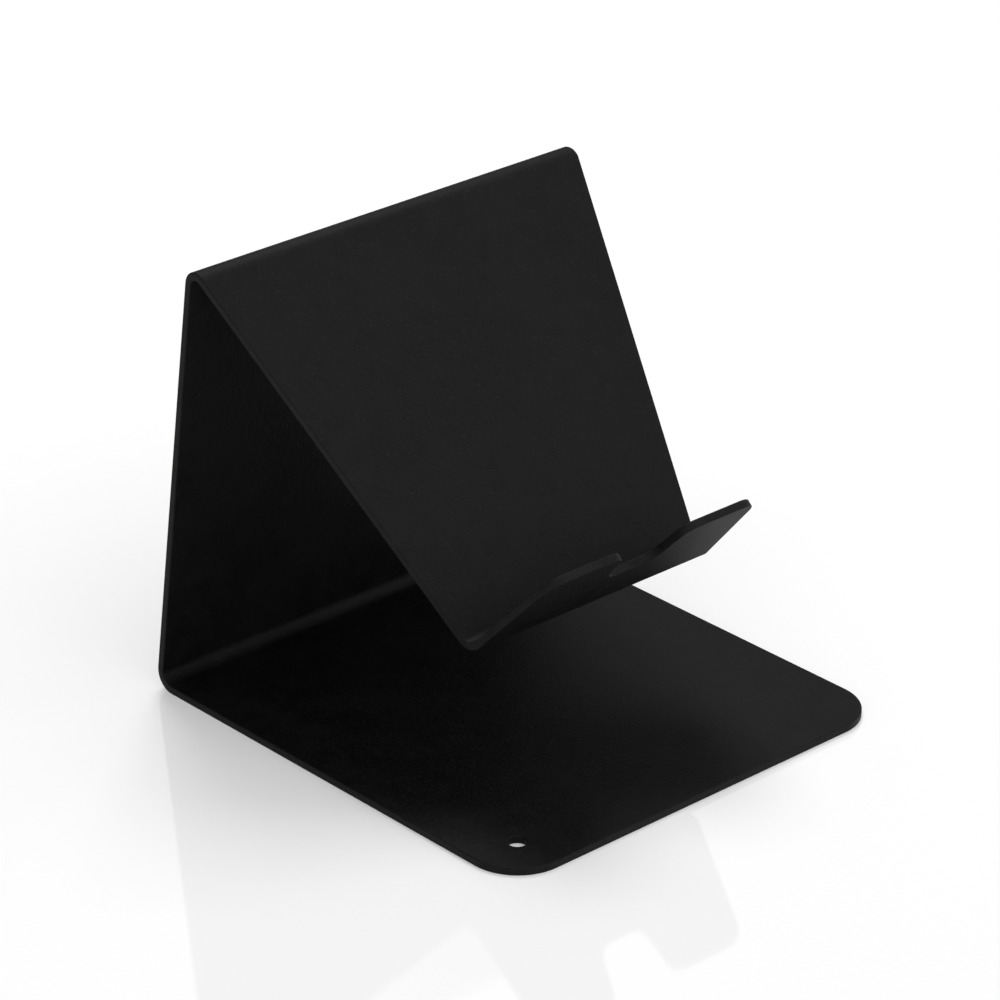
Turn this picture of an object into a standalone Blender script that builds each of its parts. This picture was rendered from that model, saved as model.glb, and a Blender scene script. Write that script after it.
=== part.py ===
"""Game controller stand, cut and folded from one steel sheet.

The blank is cut flat: a base with two rounded front corners and a hanging hole, a
rear plate that narrows a little, and a rest panel that narrows to a lip with two
rounded tabs and a cable notch between them. Three bends then make the base, the
leaning rear plate, the sloping rest panel and the raised lip. Units are metres, +Z
is up and the front faces -Y.
The origin is on the underside of the base, in the middle of its width and depth.
"""

import math

import bmesh
import bpy
from mathutils import Matrix, Vector

# Sheet and outside size
SHEET_THICKNESS = 0.0020
WIDTH = 0.1200
DEPTH = 0.1270
HEIGHT = 0.1135

# Slopes of the three raised panels
REAR_LEAN = math.radians(7.2)
REST_SLOPE = math.radians(48.7)
LIP_RISE = math.radians(47.5)

# Inside radii of the bends
REAR_BEND_RADIUS = 0.0030
RIDGE_BEND_RADIUS = 0.0020
LIP_BEND_RADIUS = 0.0020

# Base plate
BASE_CORNER_RADIUS = 0.0130
HANG_HOLE_DIAMETER = 0.0050
HANG_HOLE_INSET = 0.0123

# Rest panel, from the ridge to the lip
RIDGE_WIDTH = 0.1172
REST_LENGTH = 0.0980
REST_FOOT_WIDTH = 0.0740

# Lip, from its bend to the tops of the tabs
LIP_LENGTH = 0.0300
LIP_TOP_WIDTH = 0.0650
TAB_OUTER_RADIUS = 0.0055
TAB_INNER_RADIUS = 0.0040

# Cable notch between the tabs
NOTCH_DEPTH = 0.0135
NOTCH_MOUTH_WIDTH = 0.0200
NOTCH_FLOOR_WIDTH = 0.0150
NOTCH_FLOOR_RADIUS = 0.0045

# Burr taken off both rims of every cut edge, to a round profile
EDGE_BREAK = 0.0003
EDGE_BREAK_STEPS = 2
ROUND_PROFILE = 0.5

# Fineness of the curves
ARC_STEP = math.radians(7.5)
LEAST_ARC_STEPS = 2
HOLE_SIDES = 32

# Angles between faces: flat, shaded sharp, and the rim of a cut edge
FLAT_ANGLE = math.radians(1.0)
SHARP_ANGLE = math.radians(30.0)
RIM_ANGLE = math.radians(60.0)

# A point this close to a bend line lies on it
ON_LINE = 1e-7

# Black powder coat
COAT_COLOUR = (0.014, 0.0135, 0.013, 1.0)
COAT_ROUGHNESS = 0.42


def clear_scene():
    """Remove every object that is in the open file."""
    for item in list(bpy.data.objects):
        bpy.data.objects.remove(item, do_unlink=True)


def bend_length(inside_radius, turn):
    """Length of a bend, measured along the middle of the sheet."""
    return (inside_radius + SHEET_THICKNESS / 2) * abs(turn)


def strip():
    """Runs of the sheet from the front edge to the tab tops, as (length, turn).

    A run with no turn is flat. A positive turn folds the sheet up and over, and
    the last bend turns it back the other way. The rear plate gets the length that
    brings the top of the ridge to HEIGHT.
    """
    rear_turn = math.pi / 2 + REAR_LEAN
    ridge_turn = math.pi / 2 + REST_SLOPE - REAR_LEAN
    lip_turn = -(REST_SLOPE + LIP_RISE)
    half = SHEET_THICKNESS / 2
    rise_of_rear_bend = (REAR_BEND_RADIUS + half) * (1 + math.sin(REAR_LEAN))
    rise_of_ridge = (RIDGE_BEND_RADIUS + half) * (1 - math.sin(REAR_LEAN))
    rear_rise = HEIGHT - SHEET_THICKNESS - rise_of_rear_bend - rise_of_ridge
    return [
        (DEPTH - REAR_BEND_RADIUS - SHEET_THICKNESS, 0.0),
        (bend_length(REAR_BEND_RADIUS, rear_turn), rear_turn),
        (rear_rise / math.cos(REAR_LEAN), 0.0),
        (bend_length(RIDGE_BEND_RADIUS, ridge_turn), ridge_turn),
        (REST_LENGTH, 0.0),
        (bend_length(LIP_BEND_RADIUS, lip_turn), lip_turn),
        (LIP_LENGTH, 0.0),
    ]


def starts(runs):
    """Distance along the blank at which each run starts, and at which the last ends."""
    marks = [0.0]
    for length, _ in runs:
        marks.append(marks[-1] + length)
    return marks


def rounded(corners):
    """Closed outline through corners given as (x, distance, radius), each one rounded.

    A radius is limited to what fits in half of the shorter side at its corner.
    """
    outline = []
    for index, (x, along, radius) in enumerate(corners):
        corner = Vector((x, along))
        if radius == 0.0:
            outline.append(corner)
            continue
        back = Vector(corners[index - 1][:2]) - corner
        ahead = Vector(corners[(index + 1) % len(corners)][:2]) - corner
        half_angle = back.angle(ahead) / 2
        tangent = min(radius / math.tan(half_angle), min(back.length, ahead.length) / 2)
        inward = (back.normalized() + ahead.normalized()).normalized()
        centre = corner + inward * tangent / math.cos(half_angle)
        spoke = corner + back.normalized() * tangent - centre
        sweep = spoke.angle_signed(corner + ahead.normalized() * tangent - centre)
        steps = max(LEAST_ARC_STEPS, round(abs(sweep) / ARC_STEP))
        for step in range(steps + 1):
            turn = Matrix.Rotation(-sweep * step / steps, 2)
            outline.append(centre + turn @ spoke)
    return outline


def blank_outline(marks):
    """Outline of the flat blank, counter-clockwise, from its right front corner."""
    rear_plate_start, ridge_start, ridge_end = marks[2:5]
    lip_bend_middle = (marks[5] + marks[6]) / 2
    top = marks[7]
    right = [
        (WIDTH / 2, 0.0, BASE_CORNER_RADIUS),
        (WIDTH / 2, rear_plate_start, 0.0),
        (RIDGE_WIDTH / 2, ridge_start, 0.0),
        (RIDGE_WIDTH / 2, ridge_end, 0.0),
        (REST_FOOT_WIDTH / 2, lip_bend_middle, 0.0),
        (LIP_TOP_WIDTH / 2, top, TAB_OUTER_RADIUS),
        (NOTCH_MOUTH_WIDTH / 2, top, TAB_INNER_RADIUS),
        (NOTCH_FLOOR_WIDTH / 2, top - NOTCH_DEPTH, NOTCH_FLOOR_RADIUS),
    ]
    left = [(-x, along, radius) for x, along, radius in reversed(right)]
    return rounded(right + left)


def hole_outline():
    """Outline of the hanging hole in the left front corner of the base."""
    centre = Vector((-WIDTH / 2 + HANG_HOLE_INSET, HANG_HOLE_INSET))
    radius = HANG_HOLE_DIAMETER / 2
    angles = [2 * math.pi * side / HOLE_SIDES for side in range(HOLE_SIDES)]
    return [centre + radius * Vector((math.cos(a), math.sin(a))) for a in angles]


def draw_loop(sheet, outline):
    """Add a closed loop of edges to the flat sheet."""
    points = [sheet.verts.new((p.x, p.y, 0.0)) for p in outline]
    for index, point in enumerate(points):
        sheet.edges.new((points[index - 1], point))


def score_bends(sheet, runs, marks):
    """Cut the flat face across the sheet at every line along which it will turn."""
    for (length, turn), start in zip(runs, marks):
        if turn == 0.0:
            continue
        steps = math.ceil(abs(turn) / ARC_STEP)
        for step in range(steps + 1):
            everything = sheet.verts[:] + sheet.edges[:] + sheet.faces[:]
            cut = bmesh.ops.bisect_plane(
                sheet, geom=everything, dist=ON_LINE,
                plane_co=(0.0, start + length * step / steps, 0.0),
                plane_no=(0.0, 1.0, 0.0))
            for item in cut["geom_cut"]:
                if isinstance(item, bmesh.types.BMEdge):
                    item.seam = True


def cut_blank(runs, marks):
    """Flat blank with its hole, scored at the bends and given its thickness."""
    sheet = bmesh.new()
    draw_loop(sheet, blank_outline(marks))
    draw_loop(sheet, hole_outline())
    bmesh.ops.triangle_fill(sheet, edges=sheet.edges[:], use_beauty=True, normal=(0, 0, 1))
    score_bends(sheet, runs, marks)
    bmesh.ops.dissolve_limit(
        sheet, angle_limit=FLAT_ANGLE, verts=sheet.verts[:], edges=sheet.edges[:],
        delimit={"SEAM"})
    raised = bmesh.ops.extrude_face_region(sheet, geom=sheet.faces[:], use_keep_orig=True)
    moved = [item for item in raised["geom"] if isinstance(item, bmesh.types.BMVert)]
    bmesh.ops.translate(sheet, verts=moved, vec=(0.0, 0.0, SHEET_THICKNESS))
    bmesh.ops.recalc_face_normals(sheet, faces=sheet.faces[:])
    return sheet


def break_edges(sheet):
    """Take the burr off both rims of every cut edge."""
    rims = [edge for edge in sheet.edges if edge.calc_face_angle() > RIM_ANGLE
            and abs(edge.verts[0].co.z - edge.verts[1].co.z) < SHEET_THICKNESS / 2]
    bmesh.ops.bevel(
        sheet, geom=rims, offset=EDGE_BREAK, offset_type="OFFSET",
        segments=EDGE_BREAK_STEPS, profile=ROUND_PROFILE, affect="EDGES", clamp_overlap=False)


def follow(spot, heading, run, travel):
    """Spot and heading on the middle of the sheet after some travel into a run."""
    length, turn = run
    if turn == 0.0:
        return spot + travel * Vector((math.cos(heading), math.sin(heading))), heading
    ahead = heading + turn * travel / length
    chord = Vector((math.sin(ahead) - math.sin(heading), math.cos(heading) - math.cos(ahead)))
    return spot + length / turn * chord, ahead


def fold(sheet, runs, marks):
    """Move every point of the flat blank to its place on the folded stand."""
    half = SHEET_THICKNESS / 2
    for vertex in sheet.verts:
        spot = Vector((0.0, half))
        heading = 0.0
        for run, start in zip(runs, marks):
            travel = min(max(vertex.co.y - start, 0.0), run[0])
            spot, heading = follow(spot, heading, run, travel)
        up = Vector((-math.sin(heading), math.cos(heading)))
        place = spot + (vertex.co.z - half) * up
        vertex.co = (vertex.co.x, place.x, place.y)


def powder_coat():
    """Satin black powder coat."""
    coat = bpy.data.materials.new("black_powder_coat")
    coat.use_nodes = True
    shader = coat.node_tree.nodes["Principled BSDF"]
    shader.inputs["Base Color"].default_value = COAT_COLOUR
    shader.inputs["Roughness"].default_value = COAT_ROUGHNESS
    shader.inputs["Metallic"].default_value = 0.0
    return coat


def make_stand():
    """The folded stand, with its front edge half its depth in front of the origin."""
    runs = strip()
    marks = starts(runs)
    sheet = cut_blank(runs, marks)
    break_edges(sheet)
    fold(sheet, runs, marks)
    mesh = bpy.data.meshes.new("folded_stand")
    sheet.to_mesh(mesh)
    sheet.free()
    mesh.materials.append(powder_coat())
    mesh.shade_smooth()
    mesh.set_sharp_from_angle(angle=SHARP_ANGLE)
    stand = bpy.data.objects.new("folded_stand", mesh)
    stand.location.y = -DEPTH / 2
    bpy.context.scene.collection.objects.link(stand)
    return stand


clear_scene()
make_stand()
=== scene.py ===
"""Looks of a controller stand: the folded sheet, its powder coat, the floor, the light and the camera.

Units are metres, +Z is up and the front faces -Y. The sheet is cut flat, rounded along its cut edges and
folded, in the same way as the solid that it takes the place of, and in finer steps.
"""

import math

import bmesh
import bpy
from mathutils import Matrix, Vector


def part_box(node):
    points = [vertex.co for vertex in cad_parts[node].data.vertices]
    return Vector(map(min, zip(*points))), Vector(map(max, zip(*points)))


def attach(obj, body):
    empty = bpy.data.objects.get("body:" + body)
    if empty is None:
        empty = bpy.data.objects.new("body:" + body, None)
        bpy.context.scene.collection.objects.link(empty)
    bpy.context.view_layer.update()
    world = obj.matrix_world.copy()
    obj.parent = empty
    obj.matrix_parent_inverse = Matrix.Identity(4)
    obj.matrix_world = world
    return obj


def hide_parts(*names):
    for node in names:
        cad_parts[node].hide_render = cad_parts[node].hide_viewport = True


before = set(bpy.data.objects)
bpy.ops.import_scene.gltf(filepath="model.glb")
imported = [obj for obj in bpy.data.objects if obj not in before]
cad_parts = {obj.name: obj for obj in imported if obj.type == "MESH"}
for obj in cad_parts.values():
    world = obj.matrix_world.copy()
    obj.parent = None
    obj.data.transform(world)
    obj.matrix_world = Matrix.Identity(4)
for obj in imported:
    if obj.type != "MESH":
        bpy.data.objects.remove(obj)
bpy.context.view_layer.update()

# Sheet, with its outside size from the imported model
NODE = "folded_stand"
LOWEST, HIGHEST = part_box(NODE)
WIDTH = HIGHEST.x - LOWEST.x
DEPTH = HIGHEST.y - LOWEST.y
HEIGHT = HIGHEST.z - LOWEST.z
THICKNESS = 0.0020

# Slopes of the raised panels, and inside radii of the three bends
REAR_LEAN = math.radians(7.2)
REST_SLOPE = math.radians(48.7)
LIP_RISE = math.radians(47.5)
REAR_BEND_RADIUS = 0.0030
RIDGE_BEND_RADIUS = 0.0020
LIP_BEND_RADIUS = 0.0020

# Base plate. Its hanging hole is 0.4 mm narrower than the solid's, which fits the photograph better
BASE_CORNER_RADIUS = 0.0130
HANG_HOLE_RADIUS = 0.0023
HANG_HOLE_INSET = 0.0123

# Rest panel, lip and cable notch
RIDGE_WIDTH = 0.1172
REST_LENGTH = 0.0980
REST_FOOT_WIDTH = 0.0740
LIP_LENGTH = 0.0300
LIP_TOP_WIDTH = 0.0650
TAB_OUTER_RADIUS = 0.0055
TAB_INNER_RADIUS = 0.0040
NOTCH_DEPTH = 0.0135
NOTCH_MOUTH_WIDTH = 0.0200
NOTCH_FLOOR_WIDTH = 0.0150
NOTCH_FLOOR_RADIUS = 0.0045

# Rounding of the coated edges, and fineness of the curves
EDGE_RADIUS = 0.0003
EDGE_STEPS = 4
ROUND_PROFILE = 0.5
ARC_STEP = math.radians(2.5)
HOLE_SIDES = 72

# Angles between faces: flat, and the rim of a cut edge
FLAT_ANGLE = math.radians(0.5)
RIM_ANGLE = math.radians(60.0)

# A point this close to a bend line lies on it
ON_LINE = 1e-7

# Weight of a face's area in the shading of the points around it
AREA_WEIGHT = 100

# Powder coat: sizes of what varies in it, and depth and make-up of its relief
CLOUD_SIZE = 0.030
PATCH_SIZE = 0.006
PEEL_SIZE = 0.0016
GRAIN_SIZE = 0.00055
RELIEF_DEPTH = 0.00014
PEEL_SHARE = 0.4
GRAIN_SHARE = 0.6

# Powder coat: its blacks, in linear light
DEEP_BLACK = (0.0006, 0.0006, 0.0006, 1.0)
PALE_BLACK = (0.0022, 0.0022, 0.0021, 1.0)
CREST_BLACK = (0.0075, 0.0074, 0.0072, 1.0)
RIM_BLACK = (0.0045, 0.0044, 0.0043, 1.0)

# Levels of the noise between which the mottle, the crests and the grey of the rims set in,
# how grey the rims are at least and at most, and the middle level of the noise
MOTTLE_LEVELS = (0.38, 0.62)
CREST_LEVELS = (0.55, 0.75)
RIM_LEVELS = (0.35, 0.65)
RIM_GREY = (0.15, 0.85)
NOISE_MIDDLE = 0.5

# Powder coat: specular level, roughness, and how far clouds, patches and grain change the roughness
COAT_SPECULAR = 0.112
COAT_ROUGHNESS = 0.58
CLOUD_SPREAD = 0.07
PATCH_SPREAD = 0.08
GRAIN_SPREAD = 0.20

# Camera of the photograph
CAMERA_TARGET = Vector((0.07064, 0.08433, 0.0))
CAMERA_DISTANCE = 1.18567
CAMERA_AZIMUTH = math.radians(42.459)
CAMERA_ELEVATION = math.radians(26.014)
CAMERA_ROLL = math.radians(0.214)
CAMERA_LENS = 162.96
SENSOR_WIDTH = 36.0
NEAREST_SEEN = 0.05
FARTHEST_SEEN = 50.0

# Plain white of the floor's glow and lacquer, and of the surroundings
WHITE = (1.0, 1.0, 1.0, 1.0)

# Floor: its size, its white for the light and to look at, and its clear lacquer
FLOOR_RADIUS = 12.0
FLOOR_SIDES = 96
FLOOR_FOR_LIGHT = (0.60, 0.60, 0.60, 1.0)
FLOOR_TO_SEE = (0.95, 0.95, 0.95, 1.0)
FLOOR_GLOW_SHARE = 0.20
FLOOR_GLOW_LEVEL = 1.50
LACQUER_ROUGHNESS = 0.05
LACQUER_IOR = 3.1

# Surroundings: level in front and behind, and the Y of a direction where each is reached
FRONT_LEVEL = 1.45
BACK_LEVEL = 0.32
FULL_LEVEL_AT = 0.5

# Softbox above the stand, behind and to the right
LAMP_PLACE = Vector((0.42, 0.56, 1.35))
LAMP_AIM = Vector((0.0, 0.0, 0.05))
LAMP_SIZE = 0.6
LAMP_POWER = 11.5


class Signal:
    """A shader socket that works in Python sums, in the node tree that new nodes join."""

    def __init__(self, tree, socket=None):
        self.tree = tree
        self.socket = socket

    def node(self, kind, settings=None, sockets=None, out=0):
        """New node of a kind: its settings first, then the values or links of its sockets."""
        made = self.tree.nodes.new(kind)
        for name, value in (settings or {}).items():
            setattr(made, name, value)
        for name, value in (sockets or {}).items():
            if isinstance(value, Signal):
                self.tree.links.new(value.socket, made.inputs[name])
            else:
                made.inputs[name].default_value = value
        return Signal(self.tree, made.outputs[out])

    def value(self, operation, first, second):
        """Result of a Math node."""
        return self.node("ShaderNodeMath", {"operation": operation}, {0: first, 1: second})

    def __add__(self, other):
        return self.value("ADD", self, other)

    __radd__ = __add__

    def __sub__(self, other):
        return self.value("SUBTRACT", self, other)

    def __rsub__(self, other):
        return self.value("SUBTRACT", other, self)

    def __mul__(self, other):
        return self.value("MULTIPLY", self, other)

    __rmul__ = __mul__


def smooth_step(value, low, high, at_low=0.0, at_high=1.0):
    """Value eased from one level to another as it goes from low to high."""
    return value.node(
        "ShaderNodeMapRange", {"interpolation_type": "SMOOTHSTEP", "clamp": True},
        {"Value": value, "From Min": low, "From Max": high, "To Min": at_low, "To Max": at_high})


def noise(place, size, detail):
    """Noise whose patches are about one size across, in metres, from 0 to 1."""
    return place.node(
        "ShaderNodeTexNoise", {"noise_dimensions": "3D"},
        {"Vector": place, "Scale": 1.0 / size, "Detail": detail})


def mix_colours(mask, first, second):
    """Colour that goes from the first to the second as the mask goes from 0 to 1."""
    return mask.node(
        "ShaderNodeMix", {"data_type": "RGBA"}, {0: mask, 6: first, 7: second}, out=2)


def new_finish(name):
    """New material with an empty node tree: the material, its output node and a first signal."""
    finish = bpy.data.materials.new(name)
    finish.use_nodes = True
    tree = finish.node_tree
    tree.nodes.clear()
    output = tree.nodes.new("ShaderNodeOutputMaterial")
    return finish, output, Signal(tree)


def black_coat():
    """Satin black powder coat: fine grain on a soft orange peel, cloudy gloss and greyer rims."""
    finish, output, start = new_finish("satin_black_powder_coat")
    place = start.node("ShaderNodeTexCoord", out="Object")
    rim = start.node("ShaderNodeAttribute", {"attribute_name": "rim"}, out="Fac")
    clouds = noise(place, CLOUD_SIZE, detail=3.0)
    patches = noise(place, PATCH_SIZE, detail=3.0)
    peel = noise(place, PEEL_SIZE, detail=1.0)
    grain = noise(place, GRAIN_SIZE, detail=2.0)

    mottle = smooth_step(0.5 * clouds + 0.5 * patches, *MOTTLE_LEVELS)
    colour = mix_colours(mottle, DEEP_BLACK, PALE_BLACK)
    crests = smooth_step(grain, *CREST_LEVELS)
    colour = mix_colours(crests, colour, CREST_BLACK)
    grey_rims = rim * smooth_step(patches, *RIM_LEVELS, *RIM_GREY)
    colour = mix_colours(grey_rims, colour, RIM_BLACK)
    roughness = (COAT_ROUGHNESS + CLOUD_SPREAD * (clouds - NOISE_MIDDLE)
                 + PATCH_SPREAD * (patches - NOISE_MIDDLE) + GRAIN_SPREAD * (grain - NOISE_MIDDLE))

    height = PEEL_SHARE * peel + GRAIN_SHARE * grain
    relief = start.node(
        "ShaderNodeBump", None, {"Strength": 1.0, "Distance": RELIEF_DEPTH, "Height": height})
    shader = start.node("ShaderNodeBsdfPrincipled", None, {
        "Base Color": colour, "Roughness": roughness, "Specular IOR Level": COAT_SPECULAR,
        "Normal": relief})
    start.tree.links.new(shader.socket, output.inputs["Surface"])
    return finish


def white_floor():
    """White lacquered floor with a faint clear reflection, whiter to look at than for the light."""
    finish, output, start = new_finish("white_studio_floor")
    ray = {kind: start.node("ShaderNodeLightPath", out=kind)
           for kind in ("Is Camera Ray", "Is Glossy Ray", "Is Transmission Ray")}
    mirrored = start.value("MAXIMUM", ray["Is Glossy Ray"], ray["Is Transmission Ray"])
    seen = start.value("MAXIMUM", ray["Is Camera Ray"], mirrored)
    shade = mix_colours(seen, FLOOR_FOR_LIGHT, FLOOR_TO_SEE)
    lit = start.node("ShaderNodeBsdfDiffuse", None, {"Color": shade})
    glow = start.node(
        "ShaderNodeEmission", None, {"Color": WHITE, "Strength": FLOOR_GLOW_LEVEL})
    ground = start.node(
        "ShaderNodeMixShader", None, {0: FLOOR_GLOW_SHARE * seen, 1: lit, 2: glow})
    mirror = start.node(
        "ShaderNodeBsdfGlossy", None, {"Color": WHITE, "Roughness": LACQUER_ROUGHNESS})
    sheen = start.node("ShaderNodeFresnel", None, {"IOR": LACQUER_IOR})
    surface = start.node("ShaderNodeMixShader", None, {0: sheen, 1: ground, 2: mirror})
    start.tree.links.new(surface.socket, output.inputs["Surface"])
    return finish


def bend_length(inside_radius, turn):
    """Length of a bend, measured along the middle of the sheet."""
    return (inside_radius + THICKNESS / 2) * abs(turn)


def strip():
    """Runs of the sheet from the front edge to the tab tops, as (length, turn)."""
    rear_turn = math.pi / 2 + REAR_LEAN
    ridge_turn = math.pi / 2 + REST_SLOPE - REAR_LEAN
    lip_turn = -(REST_SLOPE + LIP_RISE)
    half = THICKNESS / 2
    rise_of_rear_bend = (REAR_BEND_RADIUS + half) * (1 + math.sin(REAR_LEAN))
    rise_of_ridge = (RIDGE_BEND_RADIUS + half) * (1 - math.sin(REAR_LEAN))
    rear_rise = HEIGHT - THICKNESS - rise_of_rear_bend - rise_of_ridge
    return [
        (DEPTH - REAR_BEND_RADIUS - THICKNESS, 0.0),
        (bend_length(REAR_BEND_RADIUS, rear_turn), rear_turn),
        (rear_rise / math.cos(REAR_LEAN), 0.0),
        (bend_length(RIDGE_BEND_RADIUS, ridge_turn), ridge_turn),
        (REST_LENGTH, 0.0),
        (bend_length(LIP_BEND_RADIUS, lip_turn), lip_turn),
        (LIP_LENGTH, 0.0),
    ]


def starts(runs):
    """Distance along the blank at which each run starts, and at which the last ends."""
    marks = [0.0]
    for length, _ in runs:
        marks.append(marks[-1] + length)
    return marks


def rounded(corners):
    """Closed outline through corners given as (x, distance, radius), each one rounded."""
    outline = []
    for index, (x, along, radius) in enumerate(corners):
        corner = Vector((x, along))
        if radius == 0.0:
            outline.append(corner)
            continue
        back = (Vector(corners[index - 1][:2]) - corner).normalized()
        ahead = (Vector(corners[(index + 1) % len(corners)][:2]) - corner).normalized()
        half_angle = back.angle(ahead) / 2
        tangent = radius / math.tan(half_angle)
        centre = corner + (back + ahead).normalized() * radius / math.sin(half_angle)
        spoke = corner + back * tangent - centre
        sweep = spoke.angle_signed(corner + ahead * tangent - centre)
        steps = round(abs(sweep) / ARC_STEP)
        for step in range(steps + 1):
            outline.append(centre + Matrix.Rotation(-sweep * step / steps, 2) @ spoke)
    return outline


def blank_outline(marks):
    """Outline of the flat blank, from its right front corner and back to its left one."""
    rear_plate_start, ridge_start, ridge_end = marks[2:5]
    lip_bend_middle = (marks[5] + marks[6]) / 2
    top = marks[7]
    right = [
        (WIDTH / 2, 0.0, BASE_CORNER_RADIUS),
        (WIDTH / 2, rear_plate_start, 0.0),
        (RIDGE_WIDTH / 2, ridge_start, 0.0),
        (RIDGE_WIDTH / 2, ridge_end, 0.0),
        (REST_FOOT_WIDTH / 2, lip_bend_middle, 0.0),
        (LIP_TOP_WIDTH / 2, top, TAB_OUTER_RADIUS),
        (NOTCH_MOUTH_WIDTH / 2, top, TAB_INNER_RADIUS),
        (NOTCH_FLOOR_WIDTH / 2, top - NOTCH_DEPTH, NOTCH_FLOOR_RADIUS),
    ]
    left = [(-x, along, radius) for x, along, radius in reversed(right)]
    return rounded(right + left)


def hole_outline():
    """Outline of the hanging hole in the left front corner of the base."""
    centre = Vector((HANG_HOLE_INSET - WIDTH / 2, HANG_HOLE_INSET))
    angles = [2 * math.pi * side / HOLE_SIDES for side in range(HOLE_SIDES)]
    return [centre + HANG_HOLE_RADIUS * Vector((math.cos(a), math.sin(a))) for a in angles]


def draw_loop(sheet, outline):
    """Add a closed loop of edges to the flat sheet."""
    points = [sheet.verts.new((p.x, p.y, 0.0)) for p in outline]
    for index, point in enumerate(points):
        sheet.edges.new((points[index - 1], point))


def score_bends(sheet, runs, marks):
    """Cut the flat face across the sheet at every line along which it will turn.

    Each bend has an even number of steps, so that a line runs along its middle, where the
    outline turns at the lip.
    """
    for (length, turn), start in zip(runs, marks):
        if turn == 0.0:
            continue
        steps = 2 * math.ceil(abs(turn) / ARC_STEP / 2)
        for step in range(steps + 1):
            everything = sheet.verts[:] + sheet.edges[:] + sheet.faces[:]
            cut = bmesh.ops.bisect_plane(
                sheet, geom=everything, dist=ON_LINE,
                plane_co=(0.0, start + length * step / steps, 0.0), plane_no=(0.0, 1.0, 0.0))
            for item in cut["geom_cut"]:
                if isinstance(item, bmesh.types.BMEdge):
                    item.seam = True


def flat_blank(runs, marks):
    """Blank with its hole and thickness, and its cut edges rounded as the coat leaves them."""
    sheet = bmesh.new()
    draw_loop(sheet, blank_outline(marks))
    draw_loop(sheet, hole_outline())
    bmesh.ops.triangle_fill(sheet, edges=sheet.edges[:], use_beauty=True, normal=(0, 0, 1))
    score_bends(sheet, runs, marks)
    bmesh.ops.dissolve_limit(
        sheet, angle_limit=FLAT_ANGLE, verts=sheet.verts[:], edges=sheet.edges[:],
        delimit={"SEAM"})
    raised = bmesh.ops.extrude_face_region(sheet, geom=sheet.faces[:], use_keep_orig=True)
    moved = [item for item in raised["geom"] if isinstance(item, bmesh.types.BMVert)]
    bmesh.ops.translate(sheet, verts=moved, vec=(0.0, 0.0, THICKNESS))
    bmesh.ops.recalc_face_normals(sheet, faces=sheet.faces[:])
    rims = [edge for edge in sheet.edges if edge.calc_face_angle() > RIM_ANGLE
            and abs(edge.verts[0].co.z - edge.verts[1].co.z) < THICKNESS / 2]
    bmesh.ops.bevel(
        sheet, geom=rims, offset=EDGE_RADIUS, offset_type="OFFSET", segments=EDGE_STEPS,
        profile=ROUND_PROFILE, affect="EDGES", clamp_overlap=False)
    return sheet


def mark_rims(sheet):
    """Give each point of the cut edges a value of 1, and each point of the flat faces 0."""
    rim = sheet.verts.layers.float.new("rim")
    for vertex in sheet.verts:
        depth = min(vertex.co.z, THICKNESS - vertex.co.z)
        vertex[rim] = min(1.0, max(0.0, depth / (EDGE_RADIUS / 2)))


def follow(spot, heading, run, travel):
    """Spot and heading on the middle of the sheet after some travel into a run."""
    length, turn = run
    if turn == 0.0:
        return spot + travel * Vector((math.cos(heading), math.sin(heading))), heading
    ahead = heading + turn * travel / length
    chord = Vector((math.sin(ahead) - math.sin(heading), math.cos(heading) - math.cos(ahead)))
    return spot + length / turn * chord, ahead


def fold(sheet, runs, marks):
    """Move every point of the flat blank to its place on the folded stand."""
    half = THICKNESS / 2
    for vertex in sheet.verts:
        spot = Vector((LOWEST.y, LOWEST.z + half))
        heading = 0.0
        for run, start in zip(runs, marks):
            travel = min(max(vertex.co.y - start, 0.0), run[0])
            spot, heading = follow(spot, heading, run, travel)
        up = Vector((-math.sin(heading), math.cos(heading)))
        place = spot + (vertex.co.z - half) * up
        vertex.co = (vertex.co.x, place.x, place.y)


def coated_sheet():
    """The folded and coated stand, which takes the place of the solid."""
    runs = strip()
    marks = starts(runs)
    sheet = flat_blank(runs, marks)
    mark_rims(sheet)
    fold(sheet, runs, marks)
    mesh = bpy.data.meshes.new("coated_sheet")
    sheet.to_mesh(mesh)
    sheet.free()
    mesh.shade_smooth()
    mesh.materials.append(black_coat())
    stand = bpy.data.objects.new("coated_sheet", mesh)
    bpy.context.scene.collection.objects.link(stand)
    weighted = stand.modifiers.new("even_shading", "WEIGHTED_NORMAL")
    weighted.mode = "FACE_AREA"
    weighted.weight = AREA_WEIGHT
    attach(stand, "root")
    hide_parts(NODE)


def studio_floor():
    """Round white floor under the stand."""
    disc = bmesh.new()
    bmesh.ops.create_circle(disc, cap_ends=True, segments=FLOOR_SIDES, radius=FLOOR_RADIUS)
    mesh = bpy.data.meshes.new("studio_floor")
    disc.to_mesh(mesh)
    disc.free()
    mesh.materials.append(white_floor())
    floor = bpy.data.objects.new("studio_floor", mesh)
    bpy.context.scene.collection.objects.link(floor)


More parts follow.
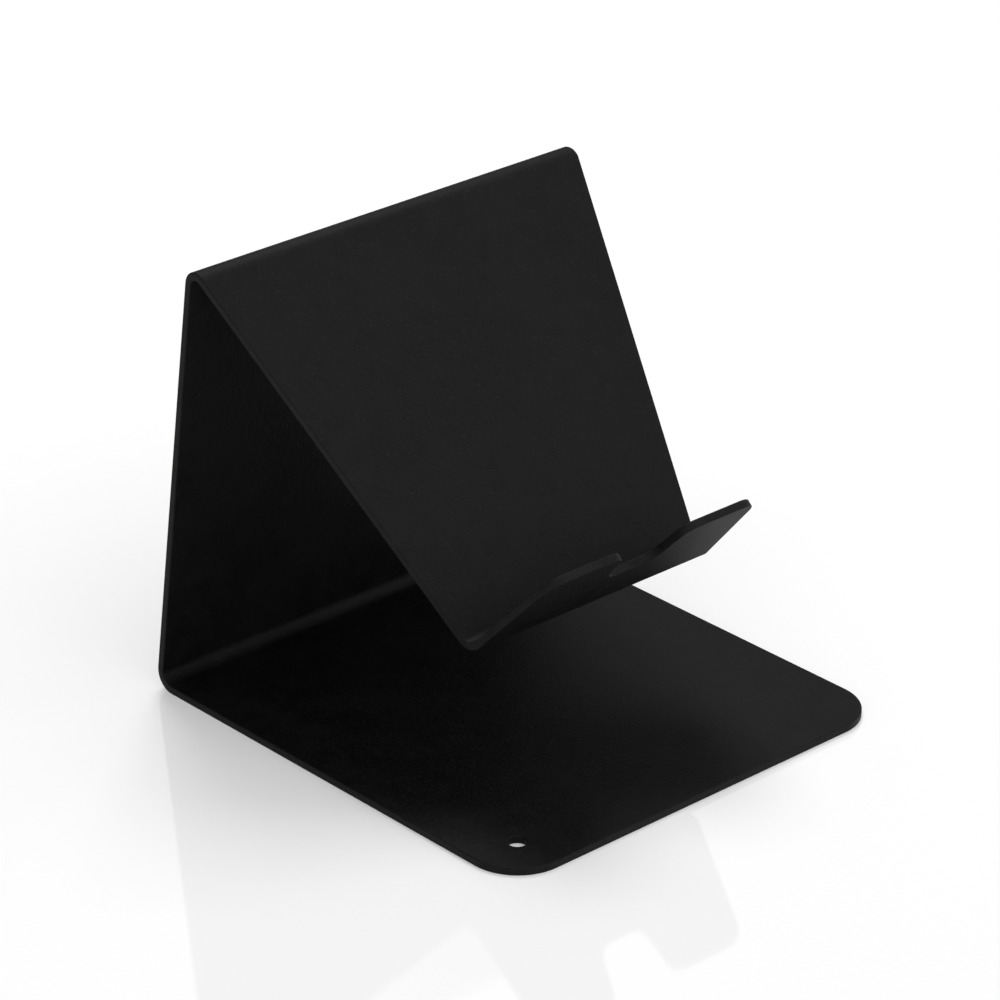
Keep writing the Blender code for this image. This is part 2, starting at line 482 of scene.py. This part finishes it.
def studio_world():
    """White surroundings, brighter in front of the stand than behind it."""
    world = bpy.data.worlds.new("studio")
    world.use_nodes = True
    world.node_tree.nodes.clear()
    output = world.node_tree.nodes.new("ShaderNodeOutputWorld")
    start = Signal(world.node_tree)
    direction = start.node("ShaderNodeTexCoord", out="Generated")
    depth = start.node("ShaderNodeSeparateXYZ", None, {"Vector": direction}, out="Y")
    level = smooth_step(depth, -FULL_LEVEL_AT, FULL_LEVEL_AT, FRONT_LEVEL, BACK_LEVEL)
    sky = start.node("ShaderNodeBackground", None, {"Color": WHITE, "Strength": level})
    start.tree.links.new(sky.socket, output.inputs["Surface"])
    bpy.context.scene.world = world


def top_softbox():
    """Square area lamp that looks down at the stand and gives it its shadow."""
    lamp = bpy.data.lights.new("top_softbox", "AREA")
    lamp.shape = "SQUARE"
    lamp.size = LAMP_SIZE
    lamp.energy = LAMP_POWER
    box = bpy.data.objects.new("top_softbox", lamp)
    box.location = LAMP_PLACE
    box.rotation_euler = (LAMP_AIM - LAMP_PLACE).to_track_quat("-Z", "Y").to_euler()
    bpy.context.scene.collection.objects.link(box)


def photo_camera():
    """Camera where the photograph was taken from."""
    lens = bpy.data.cameras.new("photo_camera")
    lens.sensor_width = SENSOR_WIDTH
    lens.lens = CAMERA_LENS
    lens.clip_start = NEAREST_SEEN
    lens.clip_end = FARTHEST_SEEN
    back = Vector((
        -math.sin(CAMERA_AZIMUTH) * math.cos(CAMERA_ELEVATION),
        -math.cos(CAMERA_AZIMUTH) * math.cos(CAMERA_ELEVATION),
        math.sin(CAMERA_ELEVATION)))
    right = (-back).cross(Vector((0.0, 0.0, 1.0))).normalized()
    up = right.cross(-back)
    turned_right = right * math.cos(CAMERA_ROLL) + up * math.sin(CAMERA_ROLL)
    turned_up = up * math.cos(CAMERA_ROLL) - right * math.sin(CAMERA_ROLL)
    pose = Matrix((turned_right, turned_up, back)).transposed().to_4x4()
    pose.translation = CAMERA_TARGET + back * CAMERA_DISTANCE
    camera = bpy.data.objects.new("photo_camera", lens)
    camera.matrix_world = pose
    bpy.context.scene.collection.objects.link(camera)
    bpy.context.scene.camera = camera


coated_sheet()
studio_floor()
studio_world()
top_softbox()
photo_camera()
bpy.context.scene.view_settings.view_transform = "Standard"
